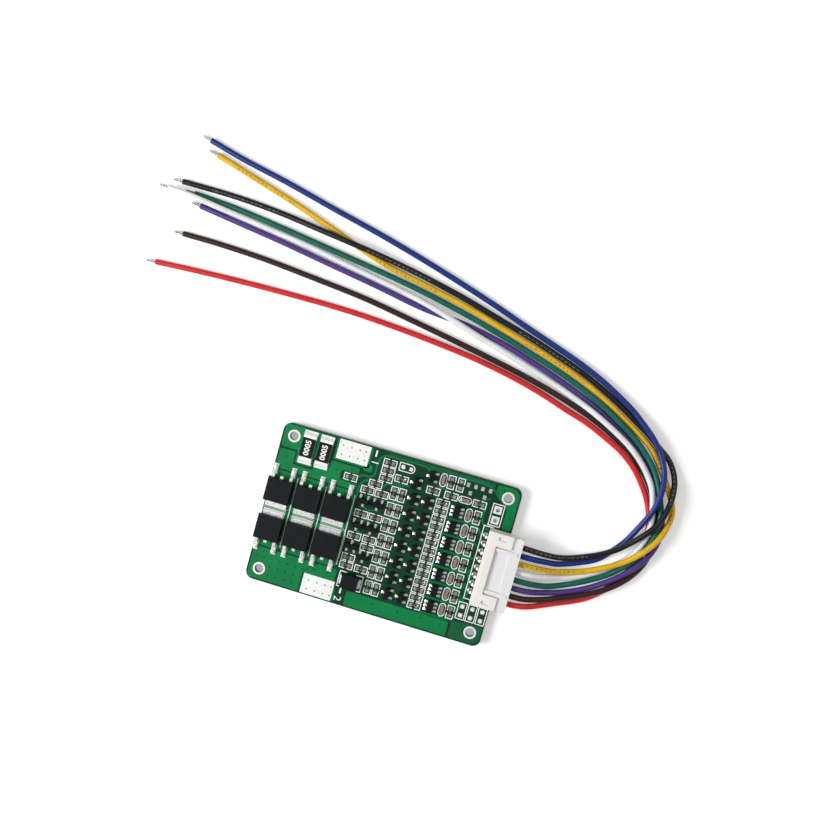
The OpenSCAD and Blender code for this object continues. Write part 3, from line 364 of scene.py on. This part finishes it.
def laminate(name, light, dark, edge):
    """Solder mask over copper and bare laminate, with the sawn laminate on the board's sides."""
    n = Nodes(name)
    cloud = n.noise(6, 4)
    weave = n.noise(0.35, 2, 0.5, (1, 0.25, 1))
    weft = n.noise(0.35, 2, 0.5, (0.25, 1, 1))
    mask = n.mix(n.ramp(cloud, 0.3, 0.7), dark, light)
    layers = n.noise(0.18, 3, 0.6, (0.15, 0.15, 1))
    side = n.mix(n.ramp(layers, 0.35, 0.65), shade(edge, 0.8), shade(edge, 1.15))
    up = n.up()
    flat = n.ramp(n.math("ABSOLUTE", up[2]), 0.5, 0.7)
    base = n.mix(flat, side, mask)
    n.bump(n.math("ADD", weave, weft), 0.006)
    return n.finish(base, n.ramp(weave, 0.3, 0.7, 0.3, 0.42), Specular_IOR_Level=0.22)


def plated():
    """Tinned pads, with painted shade darkening them down inside their holes."""
    n = Nodes("plated_holes")
    patch = n.noise(0.6, 3)
    # Painted shade: the hole walls turn dark grey below the board's top
    hole_shade = n.ramp(n.place()[2], 1.2 * MM, 1.62 * MM)
    base = n.mix(hole_shade, (0.16, 0.16, 0.15), (0.84, 0.87, 0.86))
    n.bump(patch, 0.01)
    return n.finish(base, n.ramp(patch, 0.3, 0.7, 0.36, 0.5), 0.25)


M = {
    "mask": laminate("solder_mask", (0.003, 0.052, 0.021), (0.002, 0.036, 0.015), (0.09, 0.15, 0.05)),
    "pour": laminate("copper_pour", (0.002, 0.215, 0.062), (0.001, 0.170, 0.048), (0.02, 0.2, 0.06)),
    # Mid green between mask and copper; in the lower right corner, bare mask lightened by painted glare
    "dim": laminate("mid_green_mask", (0.010, 0.120, 0.050), (0.006, 0.095, 0.038), (0.02, 0.2, 0.06)),
    "track": laminate("track", (0.002, 0.185, 0.060), (0.001, 0.145, 0.048), (0.02, 0.2, 0.06)),
    "plated": plated(),
    "tin": metal("tin", (0.86, 0.86, 0.84), 0.26, 0.9),
    "dark_tin": metal("chip_tin", (0.55, 0.54, 0.51), 0.26, 0.9, 0.2, 0.02),
    "lead_tin": metal("lead_tin", (0.90, 0.90, 0.88), 0.30, 0.6, 0.3, 0.02, 0.08),
    "bright_tin": metal("bright_tin", (0.90, 0.91, 0.89), 0.42, 0.3, 0.25, 0.012, 0.04),
    "solder": metal("solder", (0.66, 0.66, 0.66), 0.26, 0.9, 0.22, 0.03),
    "pin": metal("pin_metal", (0.72, 0.68, 0.58), 0.28, 0.9, 0.1, 0.004),
    "strand": metal("strands", (0.40, 0.40, 0.39), 0.3, 0.9, 0.1, 0.006),
    "ink": moulded("legend_ink", (0.85, 0.89, 0.86), 0.6, 0.04, 0.05, 0.004, 0.8, Specular_IOR_Level=0.2),
    "epoxy": moulded("black_epoxy", (0.0055, 0.0070, 0.0085), 0.5, 0.15, 0.06, 0.008, 1.8,
                     Specular_IOR_Level=0.14),
    "cream": moulded("cream_nylon", (0.83, 0.81, 0.765), 0.42, 0.02, 0.2, 0.005, 3, Specular_IOR_Level=0.3),
    "white": moulded("white_nylon", (0.80, 0.795, 0.80), 0.38, 0.02, 0.2, 0.005, 3, Specular_IOR_Level=0.3),
    "mark": moulded("value_marks", (0.28, 0.28, 0.28), 0.6, 0.05, 0.05, 0.001, 0.8, Specular_IOR_Level=0.2),
    "edge": moulded("tab_edges", (0.36, 0.52, 0.42), 0.45, 0.1, 0.1, 0.002, 0.8, Specular_IOR_Level=0.3),
    "via": moulded("via", (0.002, 0.045, 0.016), 0.5, 0.2, 0.1, 0.004, 1.0, Specular_IOR_Level=0.2),
    # Grey for the via holes in the tinned pads: painted shade
    "hole": moulded("via_hole_painted_shade", (0.20, 0.20, 0.19), 0.5, 0.25, 0.1, 0.004, 0.5, Specular_IOR_Level=0.2),
    "tan": moulded("capacitor_tan", (0.30, 0.16, 0.10), 0.45, 0.12, 0.08, 0.004, 0.7),
}


def film(name):
    """Chip resistor: black glaze over the top of a white ceramic block."""
    n = Nodes(name)
    fine = n.noise(0.1, 3)
    black = n.mix(n.ramp(n.noise(0.6, 3), 0.3, 0.7), (0.006, 0.006, 0.008), (0.011, 0.011, 0.013))
    base = n.mix(n.ramp(n.up()[2], 0.6, 0.8), (0.55, 0.54, 0.51), black)
    n.bump(fine, 0.004)
    return n.finish(base, n.ramp(fine, 0.3, 0.7, 0.28, 0.42), Specular_IOR_Level=0.2)


M["film"] = film("resistor_black")

INSULATION = {
    "black": (0.006, 0.006, 0.008), "blue": (0.006, 0.026, 0.185), "yellow": (0.74, 0.44, 0.010),
    "white": (0.80, 0.81, 0.82), "green": (0.003, 0.115, 0.082), "purple": (0.075, 0.036, 0.21),
    "brown": (0.030, 0.009, 0.009), "red": (0.62, 0.020, 0.024)}
PRINT = {"black": (0.10, 0.10, 0.10), "yellow": (0.36, 0.22, 0.012)}


def insulation(name, colour, mark):
    """Extruded insulation: faint lengthwise gloss, and on two leads a broken line of plain print."""
    n = Nodes(name)
    fine = n.noise(0.25, 3, 0.5)
    cloud = n.noise(4, 3)
    base = n.mix(n.ramp(cloud, 0.3, 0.7), shade(colour, 0.9), shade(colour, 1.1))
    if mark:
        uv = n.new("ShaderNodeUVMap", uv_map="along")
        xy = n.new("ShaderNodeSeparateXYZ")
        n.link(uv.outputs[0], xy.inputs[0])
        around, along = xy.outputs[0], xy.outputs[1]
        band = n.ramp(n.math("ABSOLUTE", n.math("SUBTRACT", around, 0.22)), 0.045, 0.055, 1, 0)
        dash = n.math("GREATER_THAN", n.math("FRACT", n.math("MULTIPLY", along, 1 / 1.15)), 0.38)
        group = n.math("LESS_THAN", n.math("FRACT", n.math("MULTIPLY", along, 1 / 41.0)), 0.42)
        spots = n.ramp(n.noise(0.5, 2), 0.42, 0.5)
        fac = n.math("MULTIPLY", n.math("MULTIPLY", band, dash), n.math("MULTIPLY", group, spots))
        base = n.mix(fac, base, mark)
    n.bump(fine, 0.01)
    return n.finish(base, n.ramp(fine, 0.3, 0.7, 0.3, 0.42), Specular_IOR_Level=0.35)


def dress(obj, *mats):
    obj.data.materials.clear()
    for m in mats:
        obj.data.materials.append(m)


for colour in ROUTES:
    dress(wires[colour], insulation("insulation_" + colour, INSULATION[colour], PRINT.get(colour)))
    dress(strands[colour], M["strand"])

FINISH = {
    "circuit_board": "mask", "plated_holes": "plated", "chip_pads": "dark_tin",
    "transistor_pads": "tin", "power_pads": "bright_tin", "legend": "ink",
    "mosfet_body": "epoxy", "mosfet_leadframe": "lead_tin", "shunt_body": "film",
    "shunt_terminals": "bright_tin", "chip_resistor_bodies": "film", "chip_resistor_ends": "dark_tin",
    "chip_capacitor_bodies": "tan", "chip_capacitor_ends": "dark_tin",
    "small_transistor_bodies": "epoxy", "small_transistor_leads": "tin", "balance_ic_leads": "tin",
    "balance_ic": "epoxy", "diode_body": "epoxy", "diode_tabs": "bright_tin", "header_shell": "cream",
    "header_pin": "pin", "header_solder": "solder", "plug_housing": "white", "crimp_contacts": "pin",
}
for name, obj in nodes.items():
    keys = [k for k in FINISH if name == k or name.rsplit("_", 1)[0] == k]
    if keys:
        obj.data.materials.clear()
        obj.data.materials.append(M[FINISH[keys[0]]])

# ---------------------------------------------------------------- copper, vias and printed numbers

BOARD_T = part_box("circuit_board")[1][2] / MM
PAD_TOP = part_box("power_pads")[0][2] / MM + 0.05
ROWS = [10.4 - 4 * k for k in range(7)]


def prism(bm, outline, z, height, holes=()):
    """A thin upright prism on an outline in millimetres, with round openings."""
    low, high = [], []
    for loop in (outline, *holes):
        first = len(low)
        low += [bm.verts.new((x * MM, y * MM, z * MM)) for x, y in loop]
        high += [bm.verts.new((x * MM, y * MM, (z + height) * MM)) for x, y in loop]
        for i in range(len(loop)):
            a, b = first + i, first + (i + 1) % len(loop)
            bm.faces.new((low[a], low[b], high[b], high[a]))
    loops = [[Vector((x, y, 0)) for x, y in loop] for loop in (outline, *holes)]
    for a, b, c in tessellate_polygon(loops):
        bm.faces.new((high[a], high[b], high[c]))
        bm.faces.new((low[c], low[b], low[a]))


def rounded(outline, radius, steps=4):
    """The outline with its corners rounded off by short curves."""
    out = []
    count = len(outline)
    for i in range(count):
        p, a, b = (Vector(outline[i]), Vector(outline[i - 1]), Vector(outline[(i + 1) % count]))
        r = min(radius, (a - p).length / 2.1, (b - p).length / 2.1)
        s, e = p + (a - p).normalized() * r, p + (b - p).normalized() * r
        for k in range(steps + 1):
            t = k / steps
            out.append(tuple((1 - t) ** 2 * s + 2 * t * (1 - t) * p + t * t * e))
    return out


def box2(x0, y0, x1, y1):
    return [(x0, y0), (x1, y0), (x1, y1), (x0, y1)]


def disc(x, y, r, sides=20):
    return [(x + r * math.cos(2 * math.pi * i / sides), y + r * math.sin(2 * math.pi * i / sides))
            for i in range(sides)]


def strip(points, width):
    """The outline of a track of that width along points, with mitred turns."""
    p = [Vector(q) for q in points]
    left, right = [], []
    for i, q in enumerate(p):
        a = (q - p[i - 1]).normalized() if i else (p[1] - q).normalized()
        b = (p[i + 1] - q).normalized() if i + 1 < len(p) else a
        n1, n2 = Vector((-a.y, a.x)), Vector((-b.y, b.x))
        m = (n1 + n2).normalized()
        m = m * (width / 2 / max(0.5, m.dot(n1)))
        left.append(tuple(q + m))
        right.append(tuple(q - m))
    return left + right[::-1]


def smooth2(points, steps=6):
    """A track's route with its turns rounded."""
    p = [Vector(q) for q in points]
    out = [tuple(p[0])]
    for i in range(1, len(p) - 1):
        a, b = p[i] + (p[i - 1] - p[i]) * 0.3, p[i] + (p[i + 1] - p[i]) * 0.3
        out += [tuple((1 - t) ** 2 * a + 2 * t * (1 - t) * p[i] + t * t * b)
                for t in [k / steps for k in range(steps + 1)]]
    out.append(tuple(p[-1]))
    return out


def openings(outline, places, r):
    """Openings of that radius for the places that an outline's box takes in."""
    xs, ys = [p[0] for p in outline], [p[1] for p in outline]
    return [disc(x, y, r, 32) for x, y in places
            if min(xs) < x - r and x + r < max(xs) and min(ys) < y - r and y + r < max(ys)]


def layer(name, outlines, z, height, mat, places=()):
    bm = bmesh.new()
    for outline in outlines:
        prism(bm, outline, z, height, openings(outline, places, 1.62))
    bmesh.ops.recalc_face_normals(bm, faces=bm.faces)
    obj = mesh_object(name, bm)
    dress(obj, mat)
    return obj


# Copper areas under the mask, with bare gaps between them
POURS = [
    [(-29.6, 13.9), (-25.2, 13.9), (-25.2, 10.7), (-20.9, 10.7), (-20.9, 13.5), (-17.0, 13.5), (-17.0, 19.6),
     (-29.6, 19.6)],
    [(-29.6, 8.4), (-9.0, 8.4), (-9.0, 9.9), (-13.6, 9.9), (-13.6, 12.4), (-9.3, 12.4), (-9.3, 13.9),
     (-16.6, 13.9), (-16.6, 13.1), (-20.4, 13.1), (-20.4, 10.2), (-25.6, 10.2), (-25.6, 13.4), (-29.6, 13.4)],
    box2(-29.6, -1.35, -23.55, 8.0), box2(-23.15, -1.35, -16.25, 8.0), box2(-15.85, -1.35, -8.95, 8.0),
    box2(-29.6, -11.2, -23.55, -1.85), box2(-23.15, -11.2, -16.25, -1.85), box2(-15.85, -11.2, -8.95, -1.85),
    [(-29.6, -19.6), (-16.3, -19.6), (-16.3, -14.4), (-13.5, -11.6), (-29.6, -11.6)],
    [(-16.0, -19.6), (-7.4, -19.6), (-7.4, -16.4), (-8.2, -15.4), (-8.2, -11.6), (-13.0, -11.6), (-16.0, -14.2)],
    [(-16.3, 14.3), (-7.4, 14.3), (-7.4, 19.6), (-16.3, 19.6)],
    [(-4.6, -19.6), (21.4, -19.6), (21.4, -16.0), (-4.6, -16.0)],
    [(23.9, 19.6), (28.3, 19.6), (29.6, 18.3), (29.6, 9.4), (27.4, 9.4), (27.4, 14.4), (24.4, 16.6), (23.9, 17.2)],
    [(-8.7, 15.6), (-8.6, 13.7), (-6.3, 13.6), (-6.5, 15.4)],
]
MOUNTS = [(x, y) for x in (-27, 27) for y in (-17, 17)]
layer("copper_areas", [rounded(p, 0.5) for p in POURS], BOARD_T, 0.010, M["pour"], MOUNTS)
# Mid-green areas; in the lower right corner this is bare mask lightened by painted glare
MID_GREEN_AREAS = [[(22.0, -19.6), (28.3, -19.6), (29.6, -18.3), (29.6, -15.0), (25.0, -15.0), (24.2, -15.4), (22.0, -15.4)],
        [(-3.2, 19.6), (-3.2, 19.35), (6.4, 19.35), (7.4, 18.4), (23.3, 18.4), (23.3, 19.6)]]
layer("mid_green_mask", [rounded(p, 0.4) for p in MID_GREEN_AREAS], BOARD_T, 0.010, M["dim"], MOUNTS)

pin_rows = [7 - 2 * i for i in range(8)]
TRACKS = [
    ([(-9.2, 11.9), (-8.1, 12.6), (-6.5, 12.6), (-5.5, 13.2), (-5.5, 16.8), (-4.9, 18.1), (-3.4, 18.9), (5.9, 18.9),
      (7.2, 18.3)], 0.5),
    ([(-8.5, 1.0), (-8.5, 9.6), (-7.7, 11.2), (-6.6, 11.7)], 0.5),
    ([(-3.1, 10.6), (-2.3, 11.9), (-1.3, 12.6), (3.4, 13.1)], 0.5),
    ([(14.6, 18.9), (21.6, 18.9), (24.0, 17.6), (25.0, 16.4)], 0.5),
    ([(20.9, 13.4), (21.0, 14.7), (23.1, 15.8)], 0.4),
    ([(22.4, 14.0), (22.2, 10.4), (23.4, 8.9), (24.3, 8.3)], 0.5),
    ([(9.8, 14.9), (11.2, 14.9), (14.0, 15.2)], 0.35),
]
for k, y in enumerate(ROWS):
    # Each channel's sense track runs beside its capacitor and turns to its pin
    TRACKS.append(([(13.6, y - 2.0), (22.0, y - 2.0), (23.0, (y - 2.0 + pin_rows[k + 1]) / 2),
                    (23.9, pin_rows[k + 1])], 0.42))
    TRACKS.append(([(0.2, y + 1.9), (1.2, y + 2.0), (2.2, y + 1.9)], 0.3))
    TRACKS.append(([(2.9, y - 0.8), (3.6, y - 0.2), (4.0, y)], 0.3))
    TRACKS.append(([(6.3, y + 0.95), (6.9, y + 0.5), (7.4, y)], 0.3))
    TRACKS.append(([(9.8, y + 0.95), (10.5, y + 1.0), (11.0, y + 1.0)], 0.3))
    TRACKS.append(([(9.8, y - 0.95), (10.5, y - 1.0), (11.0, y - 1.0)], 0.3))
    TRACKS.append(([(13.4, y + 1.0), (14.2, y + 0.95), (14.7, y + 0.95)], 0.3))
    TRACKS.append(([(17.4, y), (18.2, y + 0.8), (19.0, y + 0.8)], 0.3))
    TRACKS.append(([(19.0, y - 0.9), (20.0, y - 1.1), (21.1, y - 0.9)], 0.3))
for y in (6.5, 0.4):
    TRACKS.append(([(-5.4, y + 1.3), (-4.7, y + 2.0), (-3.8, y + 1.4)], 0.3))
    TRACKS.append(([(-6.4, y - 1.3), (-4.7, y - 1.9), (-2.9, y - 1.3)], 0.3))
TRACKS.append(([(22.9, -3.2), (23.1, -6.5), (22.9, -9.9)], 0.42))
layer("tracks", [strip(smooth2(p), w) for p, w in TRACKS], BOARD_T, 0.014, M["track"])

TAB_LINES = [[(-11.0, -1.5), (-9.2, -1.5), (-8.4, -3.1), (-8.6, -8.6)]]
TAB_LINES += [[(x - 2.9, -1.6), (x + 2.9, -1.6)] for x in (-27.0, -19.7, -12.4)]
layer("tab_edges", [strip(smooth2(p), 0.22) for p in TAB_LINES], BOARD_T, 0.016, M["edge"])


def blob(x, y, r, seed):
    """An uneven patch of solder."""
    rnd = random.Random(seed)
    return [(x + r * rnd.uniform(0.62, 1.0) * math.cos(math.pi * i / 5),
             y + r * rnd.uniform(0.62, 1.0) * math.sin(math.pi * i / 5)) for i in range(10)]


bare = [(x, -12.45 + dy) for x in (23.6, 26.1, 28.6) for dy in (-1.1, 1.1)] + [(0.7, 17.2), (2.7, 17.2)]
layer("pad_solder", [rounded(blob(x, y, 0.62, i), 0.2) for i, (x, y) in enumerate(bare)], PAD_TOP, 0.05,
      M["bright_tin"])

# Vias: a dark hole in the copper, or in a tinned pad, where a grey disc is painted shade for the open hole
via_spots = [(x, y) for y in (-13.9, -16.0, -18.0) for x in [-28.5 + 2.03 * i for i in range(7)]
             if not (x < -25 and y < -14.5)]
via_spots += [(-11.2, 13.2), (-14.8, 12.0), (-27.6, 11.6), (-13.8, -13.2), (-10.2, -13.0), (-4.9, 1.9), (-4.6, 8.0),
              (-0.9, 12.4), (3.6, 12.6), (7.0, 13.2), (11.3, 12.7), (23.2, 3.5), (22.6, -12.0), (25.6, 18.6),
              (28.6, 12.4), (2.4, -17.2), (8.8, -17.4), (14.6, -17.1), (19.6, -17.6)]
via_spots += [(3.55, y + 1.5) for y in ROWS] + [(10.4, y + 2.0) for y in ROWS] + [(18.0, y - 1.2) for y in ROWS]
layer("vias", [disc(x, y, 0.2) for x, y in via_spots], BOARD_T, 0.018, M["via"])
pad_vias = [(x, y) for x in (-14.7, -12.6, -10.5, -8.9) for y in (16.0, 18.2)]
pad_vias += [(x, y) for x in (-14.3, -12.2, -10.1, -8.5) for y in (-16.2, -18.4)]
# Grey discs on the tinned pads: painted shade standing for the via holes
layer("pad_vias", [disc(x, y, 0.2) for x, y in pad_vias], PAD_TOP, 0.003, M["hole"])


def number(text, size, x, y, z, turn, bold=0.0):
    """Plain digits printed flat, centred on a place in millimetres, as a mesh."""
    curve = bpy.data.curves.new("number", "FONT")
    curve.body = text
    curve.size = size * MM
    curve.align_x = "CENTER"
    curve.align_y = "CENTER"
    curve.resolution_u = 2
    curve.offset = bold * MM
    obj = bpy.data.objects.new("number", curve)
    bpy.context.scene.collection.objects.link(obj)
    bpy.context.view_layer.update()
    mesh = bpy.data.meshes.new_from_object(obj.evaluated_get(bpy.context.evaluated_depsgraph_get()))
    bpy.data.objects.remove(obj)
    mesh.transform(Matrix.Translation((x * MM, y * MM, z * MM)) @ Matrix.Rotation(math.radians(turn), 4, "Z"))
    return mesh


def numbers(name, items, mat):
    bm = bmesh.new()
    for item in items:
        mesh = number(*item)
        bm.from_mesh(mesh)
        bpy.data.meshes.remove(mesh)
    bmesh.ops.triangulate(bm, faces=bm.faces)
    obj = mesh_object(name, bm)
    dress(obj, mat)


def island_tops(node):
    """Centre, size and top of each separate solid of a node, in millimetres."""
    mesh = nodes[node].data
    parent = list(range(len(mesh.vertices)))

    def root(i):
        while parent[i] != i:
            parent[i] = parent[parent[i]]
            i = parent[i]
        return i

    places = {}
    for v in mesh.vertices:
        key = tuple(round(c * 1e6) for c in v.co)
        if key in places:
            parent[root(v.index)] = root(places[key])
        else:
            places[key] = v.index
    for edge in mesh.edges:
        a, b = edge.vertices
        parent[root(a)] = root(b)
    groups = {}
    for v in mesh.vertices:
        groups.setdefault(root(v.index), []).append(v.co / MM)
    out = []
    for g in groups.values():
        lo = [min(p[i] for p in g) for i in range(3)]
        hi = [max(p[i] for p in g) for i in range(3)]
        out.append(((lo[0] + hi[0]) / 2, (lo[1] + hi[1]) / 2, hi[0] - lo[0], hi[1] - lo[1], hi[2]))
    return sorted(out)


VALUES = ("103", "102", "101", "471", "104", "220")
items = []
for k, (x, y, w, d, top) in enumerate(island_tops("chip_resistor_bodies")):
    items.append((VALUES[(7 * k) % len(VALUES)], 0.62, x, y, top + 0.002, 0 if w > d else 90))
numbers("value_marks", items, M["mark"])
shunts = island_tops("shunt_body_1") + island_tops("shunt_body_2")
numbers("shunt_marks", [("0005", 1.9, x, y, top + 0.002, 90, 0.055) for x, y, w, d, top in shunts], M["ink"])
numbers("pad_numbers", [("1", 2.6, -6.3, 16.3, BOARD_T + 0.02, -90), ("2", 2.6, -6.4, -18.5, BOARD_T + 0.02, -90)],
        M["ink"])
layer("pad_bars", [box2(-6.6, 17.7, -6.2, 19.3), box2(-6.3, -17.1, -5.9, -15.6)], BOARD_T, 0.03, M["ink"])

# ---------------------------------------------------------------- stage

FLOOR_Z = -0.7
# Added where the floor is seen, so that it shows white and keeps the shadows
FLOOR_GLOW = 0.28


def stage_plane(name, size, z):
    bm = bmesh.new()
    bmesh.ops.create_grid(bm, x_segments=1, y_segments=1, size=size)
    mesh = bpy.data.meshes.new(name)
    bm.to_mesh(mesh)
    bm.free()
    obj = bpy.data.objects.new(name, mesh)
    obj.location.z = z
    bpy.context.scene.collection.objects.link(obj)
    return obj


floor = stage_plane("floor", 4, FLOOR_Z * MM - 0.00002)
n = Nodes("floor")
paper = n.noise(3, 3)
paper_colour = n.mix(n.ramp(paper, 0.3, 0.7), (0.895, 0.895, 0.895), (0.905, 0.905, 0.905))
floor_mat = n.finish(paper_colour, 0.9, Specular_IOR_Level=0.1)
path = n.new("ShaderNodeLightPath")
seen = n.math("MAXIMUM", n.math("MAXIMUM", path.outputs["Is Camera Ray"], path.outputs["Is Glossy Ray"]),
              path.outputs["Is Transmission Ray"])
n.bsdf.inputs["Emission Color"].default_value = (1, 1, 1, 1)
n.link(n.math("MULTIPLY", seen, FLOOR_GLOW), n.bsdf.inputs["Emission Strength"])
dress(floor, floor_mat)

world = bpy.data.worlds.new("world")
bpy.context.scene.world = world
world.use_nodes = True
wt = world.node_tree
background = wt.nodes["Background"]
background.inputs["Color"].default_value = (1, 1, 1, 1)
background.inputs["Strength"].default_value = 0.38


def area(name, at, size, watts, target=(0.0, 0.02, 0.0)):
    data = bpy.data.lights.new(name, "AREA")
    data.energy = watts
    data.size = size
    obj = bpy.data.objects.new(name, data)
    obj.location = at
    obj.rotation_euler = (Vector(target) - Vector(at)).to_track_quat("-Z", "Y").to_euler()
    bpy.context.scene.collection.objects.link(obj)


area("key", (-0.45, -0.12, 0.42), 0.30, 3.6)
area("fill", (0.35, 0.45, 0.6), 0.6, 1.0)

bpy.context.scene.view_settings.view_transform = "Standard"
